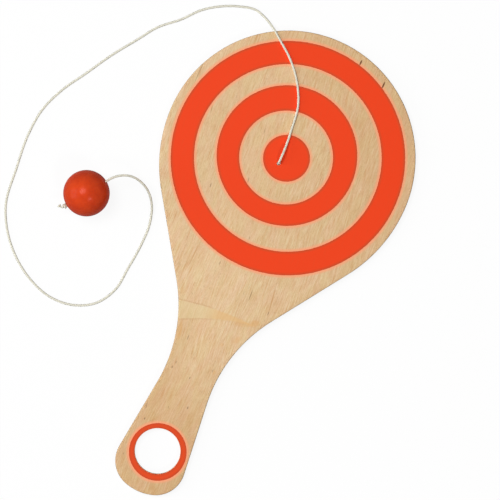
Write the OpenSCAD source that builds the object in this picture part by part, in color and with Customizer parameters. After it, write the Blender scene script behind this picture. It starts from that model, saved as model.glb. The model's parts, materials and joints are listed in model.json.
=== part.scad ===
// Wooden paddle ball game: a three-ply paddle with a printed target, and a rubber ball on an
// elastic cord. The cord goes through a small hole in the paddle and through the ball, and an
// overhand knot stops it at each end. The knot behind the paddle sits in a flat-bottomed recess, so
// the paddle lies flat on its back.
// The frame: the paddle lies on its back on z = 0, the origin is at the centre of the round head on
// the back face, +Y runs along the paddle from the handle to the head, and +Z is up out of the
// printed face. The ball and the loose cord lie beside the paddle on the same surface.

/* [Paddle outline] */
// Radius of the round top of the striking head
head_r = 72.5; // [68:0.5:77]
// How far past the long axis the flatter arcs of the head's cheeks have their centres
cheek_offset = 10.7; // [6:0.1:15]
// Width of the neck at its narrowest
neck_w = 30; // [26:0.5:34]
// Radius of the hollow of the neck
neck_r = 86; // [78:1:94]
// Distance from the centre of the head down to the narrowest place of the neck
neck_drop = 137; // [132:1:144]
// Width of the handle at its widest
handle_w = 40.6; // [38.6:0.2:44]
// How far off the long axis the round corners of the handle's end have their centres
heel_corner_offset = 3.3; // [2:0.1:6]
// Radius of the flatter arc between those corners
heel_end_r = 28; // [24:0.5:34]
// Distance from the centre of the head down to the end of the handle
heel_drop = 208; // [204:1:220]

/* [Plywood] */
// Thickness of the face veneer, which carries the print
face_t = 1.5; // [0.8:0.1:2]
// Thickness of the cross-grained core veneer
core_t = 2; // [1.9:0.1:3]
// Thickness of the back veneer
back_t = 1.5; // [1.4:0.1:2]

/* [Printed target] */
// Bare margin between the outer ring and the edge of the round top
target_margin = 5.8; // [5:0.1:12]
// Thickness of the layer of ink
ink_t = 0.1; // [0.06:0.02:0.2]

/* [Hole in the handle] */
// Radius of the hole in the handle
handle_hole_r = 13; // [9:0.1:14]
// Distance from the end of the handle back to the centre of the hole
handle_hole_back = 25.4; // [21:0.1:31]
// Outer radius of the ring printed round the hole
handle_ring_r = 16.4; // [15.5:0.1:17.2]

/* [Cord] */
// Diameter of the elastic cord
cord_d = 1.3; // [1:0.1:1.5]
// Diameter of the cord where it is pulled tight in a knot
strand_d = 0.85; // [0.7:0.05:0.9]
// Diameter of the hole for the cord through the face veneer
cord_hole_d = 2; // [1.8:0.1:2.4]
// Diameter of the recess for the knot, through the back and core veneers
recess_d = 6.4; // [5:0.1:8]

/* [Ball] */
// Radius of the rubber ball
ball_r = 13.2; // [11:0.1:15]
// Where the ball lies, across the paddle
ball_x = -96; // [-104:1:-92]
// Where the ball lies, along the paddle
ball_y = -65.5; // [-70:0.5:-60]
// Slope of the ball's bore, up towards the side where the cord comes in
bore_tilt = 12; // [0:1:20]
// Direction of the bore in plan, counted from +X
bore_turn = 55; // [45:1:65]
// Radial clearance between the ball's bore and the cord, on which the ball turns
bore_play = 0.07; // [0.03:0.01:0.09]

/* [Hidden] */

face_colour = [0.89, 0.76, 0.58];
core_colour = [0.78, 0.62, 0.43];
ink_colour = [0.94, 0.28, 0.13];
cord_colour = [0.93, 0.93, 0.88];
ball_colour = [0.80, 0.20, 0.10];

// The bullseye, the two printed rings and the bare bands between them are all equally wide
target_bands = 5;
band_w = (head_r - target_margin) / target_bands;

overrun = 1;     // every cut runs this far past the face it leaves
round_fn = 96;   // sides of a circle where it is drawn as a mesh
arc_step = 3;    // degrees between the points of the outline's arcs
tube_sides = 8;  // sides of the cord

paddle_t = back_t + core_t + face_t;
seat_z = back_t + core_t;   // floor of the recess, where the knot bears
face_z = paddle_t + ink_t;  // top of the ink

// Printing slips: how far the circles of the print sit off the centres they were drawn on
bullseye_slip = [-0.8, -0.6];
middle_in_slip = [-1.2, -0.3];
middle_out_slip = [-1.2, 0.9];
outer_in_slip = [-0.2, -0.1];
outer_out_slip = [-0.1, -0.2];
handle_ring_slip = [0.3, -0.4];
handle_hole_at = [0.9, handle_hole_back - heel_drop];  // the hole is a little off the long axis
cord_hole_at = [-3.7, -5.2];                           // the cord's hole is off the bullseye's centre

// The outline of the paddle, on its right side: a heel arc, a corner arc, the hollow of the neck, a
// cheek arc and the round top. Straight stretches that touch two arcs join the heel's corner to the
// neck and the neck to the cheek.
heel_corner_r = handle_w / 2 - heel_corner_offset;
corner_rise = sqrt(pow(heel_end_r - heel_corner_r, 2) - pow(heel_corner_offset, 2));
heel_end_at = [0, heel_end_r - heel_drop];
corner_at = [heel_corner_offset, heel_end_at.y - corner_rise];
neck_at = [neck_w / 2 + neck_r, -neck_drop];
cheek_at = [-cheek_offset, 0];
cheek_r = head_r + cheek_offset;
corner_turn = atan2(-corner_rise, heel_corner_offset);
side_turn = crossing_angle(corner_at, heel_corner_r, neck_at, neck_r, -1);
flank_turn = crossing_angle(cheek_at, cheek_r, neck_at, neck_r, 1);
right_side = concat(
    arc(heel_end_at, heel_end_r, -90, corner_turn),
    arc(corner_at, heel_corner_r, corner_turn, side_turn, 1),
    arc(neck_at, neck_r, 180 + side_turn, 180 + flank_turn),
    arc(cheek_at, cheek_r, flank_turn, 0),
    arc([0, 0], head_r, 0, 90, 1));
outline = concat(right_side,
    [for (i = [len(right_side) - 2:-1:1]) [-right_side[i].x, right_side[i].y]]);

// The ball and its bore
ball_at = [ball_x, ball_y, ball_r];
bore_way = [cos(bore_tilt) * cos(bore_turn), cos(bore_tilt) * sin(bore_turn), sin(bore_tilt)];
ball_mouth = ball_at + ball_r * bore_way;

// The loose cord, from the hole in the paddle to the mouth of the ball's bore. It comes up out of
// the hole, lies across the head, drops off the edge, runs round the ball in a wide loop on the
// surface and rises to the bore.
cord_gap = 0.05;                                 // between the cord and what it lies on
on_paddle = face_z + cord_d / 2 + cord_gap;
on_table = cord_d / 2 + cord_gap;
cord_start = [cord_hole_at.x, cord_hole_at.y, face_z];
cord_route = [
    cord_start,
    [-3.7, -4.2, 7.4],
    [-3.7, -0.5, 8.8],
    [-4, 7, 7],
    [-5, 16, on_paddle],
    [-7, 29, on_paddle],
    [-13, 41, on_paddle],
    [-22.5, 52, on_paddle],
    [-32, 59.3, on_paddle],
    [-38, 63.7, 5.6],
    [-44, 67, 3.9],
    [-52, 69.3, 1.5],
    [-60.5, 67.4, on_table],
    [-69, 63.8, on_table],
    [-80, 56.2, on_table],
    [-87.5, 47.5, on_table],
    [-99, 36.6, on_table],
    [-105.5, 27, on_table],
    [-115.5, 12.5, on_table],
    [-125, -3.7, on_table],
    [-133.5, -18, on_table],
    [-139, -32.5, on_table],
    [-140.5, -48, on_table],
    [-138.7, -69, on_table],
    [-135.5, -91, on_table],
    [-128.5, -104, on_table],
    [-118, -115.3, on_table],
    [-105, -123.7, on_table],
    [-91, -128, on_table],
    [-77, -126.7, on_table],
    [-65.5, -120, on_table],
    [-59, -109, on_table],
    [-57.3, -95, on_table],
    [-56, -80, on_table],
    [-56.5, -66.5, 1.8],
    [-60.5, -55, 5.5],
    [-68, -48, 11],
    [-77.5, -46.5, 15.4],
    [-84.5, -50, 16.8],
    ball_mouth
];
cord_steps = 2;  // rings of the cord between two points of its route

// An overhand knot pulled tight against a flat seat at z = 0, in shares of the strand's diameter.
// The strand comes up out of the seat, turns over at the top, winds one and a half times round
// itself down to the seat, tucks in under those turns and comes out at the top again.
knot_route_shares = [
    [0, 0, 0],
    [-0.2, -0.05, 0.6],
    [-0.48, -0.1, 1.3],
    [-0.56, 0, 2],
    [-0.57, 0, 2.6],
    [-0.72, 0, 3.06],
    [-1.1, 0, 3.33],
    [-1.52, 0, 3.26],
    [-1.8, -0.15, 2.92],
    [-1.78, -0.55, 2.56],
    [-1.42, -0.95, 2.43],
    [-0.8, -1.2, 2.38],
    [0.3, -1.25, 2.3],
    [1.35, -0.9, 2.2],
    [1.75, 0, 2.1],
    [1.2, 0.98, 2],
    [0, 1.25, 1.88],
    [-1.2, 0.95, 1.7],
    [-1.75, 0, 1.5],
    [-1.2, -0.95, 1.33],
    [0, -1.25, 1.15],
    [1.15, -1, 0.98],
    [1.75, -0.35, 0.82],
    [1.82, 0.3, 0.68],
    [1.52, 0.8, 0.6],
    [1.05, 0.98, 0.66],
    [0.7, 0.76, 0.92],
    [0.56, 0.38, 1.36],
    [0.54, 0.05, 2],
    [0.54, 0, 2.7],
    [0.57, 0, 3.35]
];
// The longer tail of the ball's knot goes on from there
ball_tail_shares = [[0.45, -0.3, 3.95], [0.05, -1, 4.4], [-0.2, -1.75, 4.6]];
knot_unit = 1.01 * strand_d;  // the strands lie a little further apart than they are thick

// Unit vector along v
function unit(v) = v / norm(v);

// A straight line touches circle a, at this angle, and circle b on its other side. There are two
// such lines: side is 1 for the one further anticlockwise, seen from circle a, and -1 for the other.
function crossing_angle(centre_a, r_a, centre_b, r_b, side) =
    let (way = centre_b - centre_a)
    atan2(way.y, way.x) + side * acos((r_a + r_b) / norm(way));

// Points of an arc between two angles. A first of 1 leaves its first point out.
function arc(centre, r, from, to, first = 0) =
    let (steps = ceil(abs(to - from) / arc_step))
    [for (i = [first:steps])
        let (angle = from + (to - from) * i / steps)
        centre + r * [cos(angle), sin(angle)]];

// Direction of a smooth route at point i. It sets out straight up, and elsewhere takes the
// directions of the two stretches beside the point, the shorter one counting for more.
function way_at(points, i, last_way) =
    i == 0 ? [0, 0, 1]
    : i == len(points) - 1 ? unit(last_way)
    : let (back = points[i] - points[i - 1])
      let (ahead = points[i + 1] - points[i])
      unit(back / pow(norm(back), 2) + ahead / pow(norm(ahead), 2));

// Cubic curve from point a, left along way_a, to point b, reached along way_b
function bend(a, way_a, b, way_b, t) =
    let (reach = norm(b - a))
    a * (2 * pow(t, 3) - 3 * pow(t, 2) + 1) + b * (3 * pow(t, 2) - 2 * pow(t, 3))
    + reach * way_a * (pow(t, 3) - 2 * pow(t, 2) + t) + reach * way_b * (pow(t, 3) - pow(t, 2));

// A smooth line through the points of a route, with this many steps between two of them
function smooth(points, last_way, steps) =
    let (ways = [for (i = [0:len(points) - 1]) way_at(points, i, last_way)])
    concat(
        [for (i = [0:len(points) - 2], k = [0:steps - 1])
            bend(points[i], ways[i], points[i + 1], ways[i + 1], k / steps)],
        [points[len(points) - 1]]);

// Directions square to each of the ways along a line, each carried on from the one before it, so
// that a tube along the line doesn't twist
function sides_along(ways, i = 0, side = [1, 0, 0]) =
    i == len(ways) ? []
    : let (carried = unit(side - (side * ways[i]) * ways[i]))
      concat([carried], sides_along(ways, i + 1, carried));

// One ring of a tube, square to way, with its first point towards side
function ring(centre, way, side, r) =
    let (up = cross(way, side))
    [for (k = [0:tube_sides - 1])
        let (angle = 360 * k / tube_sides)
        centre + r * (cos(angle) * side + sin(angle) * up)];

// A tube along a line that sets out straight up. Its first ring has a radius of its own.
module tube(line, last_way, first_r, r) {
    sides = tube_sides;
    last = len(line) - 1;
    ways = [for (i = [0:last])
        i == 0 ? [0, 0, 1] : i == last ? unit(last_way) : unit(line[i + 1] - line[i - 1])];
    across = sides_along(ways);
    rings = [for (i = [0:last]) ring(line[i], ways[i], across[i], i == 0 ? first_r : r)];
    walls = [for (j = [0:last - 1], k = [0:sides - 1])
        let (a = j * sides + k)
        let (b = j * sides + (k + 1) % sides)
        each [[a + sides, b + sides, b], [a + sides, b, a]]];
    caps = [[for (k = [0:sides - 1]) k], [for (k = [sides - 1:-1:0]) last * sides + k]];
    polyhedron([for (points = rings, p = points) p], concat(walls, caps));
}

// An upright cut through everything between two heights
module drill(at, r, from_z, to_z)
    translate([at.x, at.y, from_z - overrun])
        cylinder(h = to_z - from_z + 2 * overrun, r = r, $fn = round_fn);

module handle_hole() drill(handle_hole_at, handle_hole_r, 0, face_z);
module cord_hole() drill(cord_hole_at, cord_hole_d / 2, seat_z, face_z);

// The recess for the knot ends at the face veneer
module knot_recess() drill(cord_hole_at, recess_d / 2, 0, seat_z);

// One veneer of the paddle, with the hole in the handle
module ply(z, thickness) difference() {
    translate([0, 0, z]) linear_extrude(thickness) polygon(outline);
    handle_hole();
}

module face_veneer() color(face_colour) difference() {
    ply(seat_z, face_t);
    cord_hole();
}

module core_veneer() color(core_colour) difference() {
    ply(back_t, core_t);
    knot_recess();
}

module back_veneer() color(face_colour) difference() {
    ply(0, back_t);
    knot_recess();
}

// A printed disc of ink on the face
module ink_disc(at, r)
    translate([at.x, at.y, paddle_t]) cylinder(h = ink_t, r = r, $fn = round_fn);

// A printed ring, whose inner circle has a centre of its own
module ink_ring(out_at, out_r, in_at, in_r) color(ink_colour) difference() {
    ink_disc(out_at, out_r);
    drill(in_at, in_r, paddle_t, face_z);
}

module target_bullseye() color(ink_colour) difference() {
    ink_disc(bullseye_slip, band_w);
    cord_hole();
}

module target_middle_ring() ink_ring(middle_out_slip, 3 * band_w, middle_in_slip, 2 * band_w);
module target_outer_ring()
    ink_ring(outer_out_slip, target_bands * band_w, outer_in_slip, (target_bands - 1) * band_w);
module handle_hole_ring()
    ink_ring(handle_hole_at + handle_ring_slip, handle_ring_r, handle_hole_at, handle_hole_r);

module elastic_cord() color(cord_colour)
    tube(smooth(cord_route, -bore_way, cord_steps), -bore_way, cord_d / 2, cord_d / 2);

module cord_in_paddle() color(cord_colour)
    translate([cord_hole_at.x, cord_hole_at.y, seat_z])
        cylinder(h = face_z - seat_z, r = cord_d / 2, $fn = round_fn);

// A knot on a seat at z = 0, with the cord coming up out of it
module stopper_knot(tail_shares) {
    points = knot_unit * concat(knot_route_shares, tail_shares);
    tail_way = points[len(points) - 1] - points[len(points) - 2];
    color(cord_colour) tube(points, tail_way, cord_d / 2, strand_d / 2);
}

module paddle_knot()
    translate([cord_hole_at.x, cord_hole_at.y, seat_z]) rotate([180, 0, 0]) stopper_knot([]);

module ball_knot()
    translate(ball_at - ball_r * bore_way) rotate([0, 90 + bore_tilt, bore_turn + 180])
        stopper_knot(ball_tail_shares);

// A rod through the ball's centre along its bore
module bore_rod(r, length)
    translate(ball_at) rotate([0, 90 - bore_tilt, bore_turn])
        cylinder(h = length, r = r, center = true, $fn = round_fn);

module cord_in_ball() color(cord_colour) bore_rod(cord_d / 2, 2 * ball_r);

module ball() color(ball_colour) difference() {
    translate(ball_at) sphere(ball_r, $fn = round_fn);
    bore_rod(cord_d / 2 + bore_play, 2 * (ball_r + overrun));
}

face_veneer();
core_veneer();
back_veneer();
target_bullseye();
target_middle_ring();
target_outer_ring();
handle_hole_ring();
elastic_cord();
cord_in_paddle();
paddle_knot();
cord_in_ball();
ball_knot();
ball();
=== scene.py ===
"""Looks of a wooden paddle ball game: a three-ply paddle with a printed target, and a rubber ball on
a braided elastic cord. Lengths are in millimetres, and MM turns them into metres for the meshes."""
import json
import math

import bmesh
import bpy
import numpy as np
from mathutils import Euler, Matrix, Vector


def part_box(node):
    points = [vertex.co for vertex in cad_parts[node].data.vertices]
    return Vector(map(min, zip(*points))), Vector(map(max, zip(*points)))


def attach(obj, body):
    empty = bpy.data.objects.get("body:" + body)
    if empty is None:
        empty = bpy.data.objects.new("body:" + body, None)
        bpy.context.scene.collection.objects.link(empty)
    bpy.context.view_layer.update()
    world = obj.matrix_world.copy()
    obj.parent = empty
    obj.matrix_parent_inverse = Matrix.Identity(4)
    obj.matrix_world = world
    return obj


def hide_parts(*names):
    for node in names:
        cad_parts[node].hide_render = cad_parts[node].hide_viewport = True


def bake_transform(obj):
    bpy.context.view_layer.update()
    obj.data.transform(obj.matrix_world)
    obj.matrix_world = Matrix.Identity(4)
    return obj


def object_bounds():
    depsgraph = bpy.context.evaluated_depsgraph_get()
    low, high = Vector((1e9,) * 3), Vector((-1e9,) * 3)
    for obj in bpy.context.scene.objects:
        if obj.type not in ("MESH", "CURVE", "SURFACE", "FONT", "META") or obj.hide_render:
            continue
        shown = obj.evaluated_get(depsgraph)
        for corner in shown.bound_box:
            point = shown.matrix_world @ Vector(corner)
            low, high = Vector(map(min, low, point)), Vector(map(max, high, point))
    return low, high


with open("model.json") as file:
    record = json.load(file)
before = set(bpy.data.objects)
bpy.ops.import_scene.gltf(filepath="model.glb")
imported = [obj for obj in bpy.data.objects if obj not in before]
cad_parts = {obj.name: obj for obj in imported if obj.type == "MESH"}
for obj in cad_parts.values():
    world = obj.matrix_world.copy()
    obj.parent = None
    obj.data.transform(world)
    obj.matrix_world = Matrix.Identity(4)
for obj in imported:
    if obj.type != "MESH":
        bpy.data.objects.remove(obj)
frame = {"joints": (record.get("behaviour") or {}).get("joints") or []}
cad_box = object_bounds()

MM = 0.001
TINY = 1e-6                # slack for rounding errors


def box_mm(node):
    """Lowest and highest corner of a CAD node at rest."""
    low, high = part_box(node)
    return np.array(low) / MM, np.array(high) / MM


# Outline of the paddle
HEAD_R = 72.5
CHEEK_OFFSET = 10.7
NECK_W = 30
NECK_R = 86
NECK_DROP = 137
HANDLE_W = 40.6
HEEL_CORNER_OFFSET = 3.3
HEEL_END_R = 28
HEEL_DROP = 208

# Holes
HANDLE_HOLE_AT = np.array([0.9, -182.6])
HANDLE_HOLE_R = 13
CORD_HOLE_AT = np.array([-3.7, -5.2])
CORD_HOLE_R = 1
RECESS_R = 3.2

# Heights of the plies and of the ink on them
CORE_Z = box_mm("core_veneer")[0][2]
FACE_Z = box_mm("face_veneer")[0][2]
WOOD_Z = box_mm("face_veneer")[1][2]
INK_Z = box_mm("target_bullseye")[1][2]

# Cord and ball
CORD_D = 1.3
STRAND_D = 0.85
CORD_GAP = 0.05
BORE_PLAY = 0.07
ball_low, ball_high = box_mm("ball")
BALL_AT = (ball_low + ball_high) / 2
BALL_R = (ball_high - ball_low)[2] / 2
spin = next(joint for joint in frame["joints"] if joint["name"] == "ball_spin")
BORE_WAY = np.array(spin["axis"])
BALL_MOUTH = BALL_AT + BALL_R * BORE_WAY
BALL_FAR_MOUTH = BALL_AT - BALL_R * BORE_WAY

# Camera: it looks straight down, and the paddle leans in its picture
VIEW_CENTRE = (1.76, -56.7)
VIEW_TURN = 24.3
VIEW_WIDTH = 284.45
VIEW_HEIGHT = 2500
SENSOR = 36

camera_data = bpy.data.cameras.new("camera")
camera_data.sensor_width = SENSOR
camera_data.lens = SENSOR * VIEW_HEIGHT / VIEW_WIDTH
camera = bpy.data.objects.new("camera", camera_data)
camera.location = (VIEW_CENTRE[0] * MM, VIEW_CENTRE[1] * MM, (WOOD_Z + VIEW_HEIGHT) * MM)
camera.rotation_euler = (0, 0, math.radians(VIEW_TURN))
bpy.context.scene.collection.objects.link(camera)
bpy.context.scene.camera = camera
bpy.context.scene.view_settings.view_transform = "Standard"

# The loose cord, from the hole in the paddle to the mouth of the ball's bore
ON_PADDLE = INK_Z + CORD_D / 2 + CORD_GAP
ON_TABLE = CORD_D / 2 + CORD_GAP
CORD_START = (*CORD_HOLE_AT, INK_Z)
CORD_ROUTE = np.array([
    CORD_START,
    (-3.7, -4.2, 7.4),
    (-3.7, -0.5, 8.8),
    (-4, 7, 7),
    (-5, 16, ON_PADDLE),
    (-7, 29, ON_PADDLE),
    (-13, 41, ON_PADDLE),
    (-22.5, 52, ON_PADDLE),
    (-32, 59.3, ON_PADDLE),
    (-38, 63.7, 5.6),
    (-44, 67, 3.9),
    (-52, 69.3, 1.5),
    (-60.5, 67.4, ON_TABLE),
    (-69, 63.8, ON_TABLE),
    (-80, 56.2, ON_TABLE),
    (-87.5, 47.5, ON_TABLE),
    (-99, 36.6, ON_TABLE),
    (-105.5, 27, ON_TABLE),
    (-115.5, 12.5, ON_TABLE),
    (-125, -3.7, ON_TABLE),
    (-133.5, -18, ON_TABLE),
    (-139, -32.5, ON_TABLE),
    (-140.5, -48, ON_TABLE),
    (-138.7, -69, ON_TABLE),
    (-135.5, -91, ON_TABLE),
    (-128.5, -104, ON_TABLE),
    (-118, -115.3, ON_TABLE),
    (-105, -123.7, ON_TABLE),
    (-91, -128, ON_TABLE),
    (-77, -126.7, ON_TABLE),
    (-65.5, -120, ON_TABLE),
    (-59, -109, ON_TABLE),
    (-57.3, -95, ON_TABLE),
    (-56, -80, ON_TABLE),
    (-56.5, -66.5, 1.8),
    (-60.5, -55, 5.5),
    (-68, -48, 11),
    (-77.5, -46.5, 15.4),
    (-84.5, -50, 16.8),
    BALL_MOUTH,
])

# An overhand knot on a seat, in shares of the strand's diameter
KNOT_SHARES = [
    (0, 0, 0),
    (-0.2, -0.05, 0.6),
    (-0.48, -0.1, 1.3),
    (-0.56, 0, 2),
    (-0.57, 0, 2.6),
    (-0.72, 0, 3.06),
    (-1.1, 0, 3.33),
    (-1.52, 0, 3.26),
    (-1.8, -0.15, 2.92),
    (-1.78, -0.55, 2.56),
    (-1.42, -0.95, 2.43),
    (-0.8, -1.2, 2.38),
    (0.3, -1.25, 2.3),
    (1.35, -0.9, 2.2),
    (1.75, 0, 2.1),
    (1.2, 0.98, 2),
    (0, 1.25, 1.88),
    (-1.2, 0.95, 1.7),
    (-1.75, 0, 1.5),
    (-1.2, -0.95, 1.33),
    (0, -1.25, 1.15),
    (1.15, -1, 0.98),
    (1.75, -0.35, 0.82),
    (1.82, 0.3, 0.68),
    (1.52, 0.8, 0.6),
    (1.05, 0.98, 0.66),
    (0.7, 0.76, 0.92),
    (0.56, 0.38, 1.36),
    (0.54, 0.05, 2),
    (0.54, 0, 2.7),
    (0.57, 0, 3.35),
]
BALL_TAIL_SHARES = [(0.45, -0.3, 3.95), (0.05, -1, 4.4), (-0.2, -1.75, 4.6)]
KNOT_SLACK = 1.01          # the strands of a knot lie this share of their diameter apart
KNOT_UNIT = KNOT_SLACK * STRAND_D
UP = np.array([0, 0, 1])

# Braid of the cord
CARRIERS = 6               # yarns that wind each way
PHASE_STEPS = 4            # points of the mesh across one yarn
LAY_SHARE = 3.2            # length of one turn of a yarn, in diameters of the cord
RELIEF_SHARE = 0.035       # height of the yarns' relief, in diameters of the cord
ROUTE_STEPS = 24           # points of the smooth line between two points of a route
SLANT = np.array([0.29, -0.83, 0.47])   # a direction that no stretch of cord takes

# Frayed end of the knot on the ball
FIBRES = 240
FIBRE_STEPS = 8
FIBRE_SIDES = 5
FIBRE_R = 0.06
FIBRE_SPREAD = 0.9         # share of the strand's section that the fibres fill
FIBRE_REACH = (0.7, 1.5)   # shortest and longest
FIBRE_FLARE = (0.8, 2.8)   # how far a tip bends away, as a share of its distance from the middle
FIBRE_TAPER = 0.5          # how much thinner a tip is than its root
FIBRE_SEED = 7
ROOT_SHARE = 0.6           # share of a fibre that lies inside the strand
LEAN_SHARE = 0.2           # how far a fibre's tip leans over, as a share of its length
TAIL_LEAN = (-0.97, -0.2, 0.15)


def unit(v):
    """Vectors along the last axis, made one long."""
    return v / np.linalg.norm(v, axis=-1, keepdims=True)


def smooth(points, first_way, last_way, steps=ROUTE_STEPS):
    """A smooth line through the points of a route.

    Each stretch is a cubic that leaves one point along its direction and reaches the next along the
    next one's. A point's direction is the sum of the two stretches beside it, each divided by the
    square of its own length, and made one long."""
    stretch = np.diff(points, axis=0)
    reach = np.linalg.norm(stretch, axis=1, keepdims=True)
    pull = stretch / reach**2
    ways = unit(np.vstack([first_way, pull[:-1] + pull[1:], last_way]))
    t = (np.arange(steps) / steps)[None, :, None]
    leave = (reach * ways[:-1])[:, None]
    arrive = (reach * ways[1:])[:, None]
    line = (points[:-1, None] * (2 * t**3 - 3 * t**2 + 1) + points[1:, None] * (3 * t**2 - 2 * t**3)
            + leave * (t**3 - 2 * t**2 + t) + arrive * (t**3 - t**2))
    return np.vstack([line.reshape(-1, 3), points[-1:]])


def evenly(line, step):
    """Points at even distances along a line, about one step apart, and those distances."""
    lengths = np.linalg.norm(np.diff(line, axis=0), axis=1)
    along = np.concatenate([[0], np.cumsum(lengths)])
    at = np.linspace(0, along[-1], round(along[-1] / step) + 1)
    return np.stack([np.interp(at, along, line[:, axis]) for axis in range(3)], axis=1), at


def square_to(way):
    """Two directions square to each way along a line, which don't twist round it.

    The first guess is the cross product of the way and a fixed slant. It twists, so each pair is
    turned back by the running total of the angle between one guess, carried on, and the next."""
    guess = unit(np.cross(way, SLANT))
    other = np.cross(way, guess)
    carried = guess[:-1]
    turns = np.arctan2(np.sum(carried * other[1:], axis=1), np.sum(carried * guess[1:], axis=1))
    total = np.concatenate([[0], np.cumsum(turns)])[:, None]
    side = np.cos(total) * guess + np.sin(total) * other
    return side, np.cross(way, side)


def cells(rows, columns, row_wrap=False, column_wrap=False):
    """Corner numbers of the cells of a grid of points, four to a cell. A grid that wraps closes on
    itself."""
    row, column = np.mgrid[0:rows - (not row_wrap), 0:columns - (not column_wrap)]
    below, beside = (row + 1) % rows, (column + 1) % columns
    corners = (row * columns + column, row * columns + beside,
               below * columns + beside, below * columns + column)
    return np.stack(corners, axis=-1).reshape(-1, 4)


def make_mesh(name, points, faces, flats=(), phases=None):
    """A mesh of points in millimetres, with faces of four corners, and flats of any number.

    Points in one place are merged and the faces turned outwards. Phases are the four corners' own
    pattern coordinates on each face."""
    mesh = bpy.data.meshes.new(name)
    mesh.from_pydata((points * MM).tolist(), [], faces.tolist() + [list(flat) for flat in flats])
    if phases is not None:
        layer = mesh.uv_layers.new(name="yarns")
        ends = np.zeros((len(layer.data) - 4 * len(faces), 2))
        layer.data.foreach_set("uv", np.vstack([phases.reshape(-1, 2), ends]).ravel())
    work = bmesh.new()
    work.from_mesh(mesh)
    bmesh.ops.remove_doubles(work, verts=work.verts, dist=TINY)
    bmesh.ops.recalc_face_normals(work, faces=work.faces)
    work.to_mesh(mesh)
    work.free()
    mesh.shade_smooth()
    made = bpy.data.objects.new(name, mesh)
    bpy.context.scene.collection.objects.link(made)
    return made


def braided_tube(name, line, last_way, diameters):
    """A braided cord along a line that sets out along its first stretch.

    Each ring is a circle square to the line. At point k of ring j the yarns of one hand are at phase
    (k + j) / 4 and those of the other at (k - j) / 4, so both wind round the cord. The radius is the
    cord's own plus a relief that goes as the product of |sin| of pi times each phase. diameters are
    the cord's at its start and, from one diameter on, along the rest."""
    start_d, rest_d = diameters
    points, at = evenly(line, LAY_SHARE * rest_d / (CARRIERS * PHASE_STEPS))
    way = unit(np.gradient(points, axis=0))
    way[-1] = unit(last_way)
    side, up = square_to(way)
    sides = CARRIERS * PHASE_STEPS
    ring, point = np.mgrid[0:len(points), 0:sides]
    angle = 2 * np.pi * point / sides
    humps = np.abs(np.sin(np.pi * (point + ring) / PHASE_STEPS)
                   * np.sin(np.pi * (point - ring) / PHASE_STEPS))
    radius = np.interp(at, [0, rest_d], [start_d / 2, rest_d / 2])[:, None]
    radius = (radius + RELIEF_SHARE * rest_d * (humps - humps.mean()))[..., None]
    around = np.cos(angle)[..., None] * side[:, None] + np.sin(angle)[..., None] * up[:, None]
    surface = points[:, None] + radius * around
    rings = len(points)
    row, column = np.mgrid[0:rings - 1, 0:sides]
    corner_rows = row[..., None] + np.array([0, 0, 1, 1])
    corner_columns = column[..., None] + np.array([0, 1, 1, 0])
    phases = np.stack([corner_columns + corner_rows, corner_columns - corner_rows], axis=-1)
    ends = [range(sides), range((rings - 1) * sides, rings * sides)]
    made = make_mesh(name, surface.reshape(-1, 3), cells(rings, sides, column_wrap=True), ends,
                     phases / PHASE_STEPS)
    return made, points


def knot_line(tail_shares):
    """The strand of a knot on a seat at z = 0, and the direction of its end."""
    points = KNOT_UNIT * np.array(KNOT_SHARES + tail_shares)
    last_way = points[-1] - points[-2]
    return smooth(points, UP, last_way), last_way


def frayed_end(name, end, way, lean):
    """Loose fibres at a cut end. Each starts inside the strand, by its own share of the radius, and
    runs straight on. With the square of the distance it bends away from the strand's middle and over
    towards the lean. Places, lengths and bends are drawn from a fixed seed."""
    draw = np.random.default_rng(FIBRE_SEED)
    turn = draw.uniform(0, 2 * np.pi, FIBRES)[:, None, None]
    out = STRAND_D / 2 * np.sqrt(draw.uniform(0, FIBRE_SPREAD, FIBRES))[:, None, None]
    reach = draw.uniform(*FIBRE_REACH, FIBRES)[:, None, None]
    flare = draw.uniform(*FIBRE_FLARE, FIBRES)[:, None, None]
    side, up = (direction[0] for direction in square_to(np.stack([unit(way), unit(way)])))
    outward = np.cos(turn) * side + np.sin(turn) * up
    t = np.linspace(0, 1, FIBRE_STEPS)[None, :, None]
    line = (end + outward * out * (1 + flare * t**2) + unit(way) * reach * (t - ROOT_SHARE)
            + unit(lean) * reach * LEAN_SHARE * t**2)
    along = unit(np.gradient(line, axis=1))
    across = unit(np.cross(along, SLANT))[:, :, None]
    upright = np.cross(along[:, :, None], across)
    angle = (2 * np.pi * np.arange(FIBRE_SIDES) / FIBRE_SIDES)[:, None]
    thick = (FIBRE_R * (1 - FIBRE_TAPER * t**2))[:, :, None]
    surface = line[:, :, None] + thick * (np.cos(angle) * across + np.sin(angle) * upright)
    size = FIBRE_STEPS * FIBRE_SIDES
    starts = np.arange(FIBRES)[:, None, None] * size
    faces = (cells(FIBRE_STEPS, FIBRE_SIDES, column_wrap=True)[None] + starts).reshape(-1, 4)
    caps = [range(first, first + FIBRE_SIDES) for fibre in range(FIBRES)
            for first in (fibre * size, (fibre + 1) * size - FIBRE_SIDES)]
    return make_mesh(name, surface.reshape(-1, 3), faces, caps)


# The cord comes first
cord, cord_line = braided_tube(
    "braided_cord", smooth(CORD_ROUTE, UP, -BORE_WAY), -BORE_WAY, (CORD_D, CORD_D))

through_paddle, _ = braided_tube(
    "cord_through_paddle", np.array([(*CORD_HOLE_AT, FACE_Z), CORD_START]), UP, (CORD_D, CORD_D))
through_ball, _ = braided_tube(
    "cord_through_ball", np.array([BALL_FAR_MOUTH, BALL_MOUTH]), BORE_WAY, (CORD_D, CORD_D))

paddle_knot_line, paddle_knot_way = knot_line([])
under = np.array([1, -1, -1])
knot_behind, _ = braided_tube(
    "knot_behind_paddle", paddle_knot_line * under + (*CORD_HOLE_AT, FACE_Z), paddle_knot_way * under,
    (CORD_D, STRAND_D))

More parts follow.
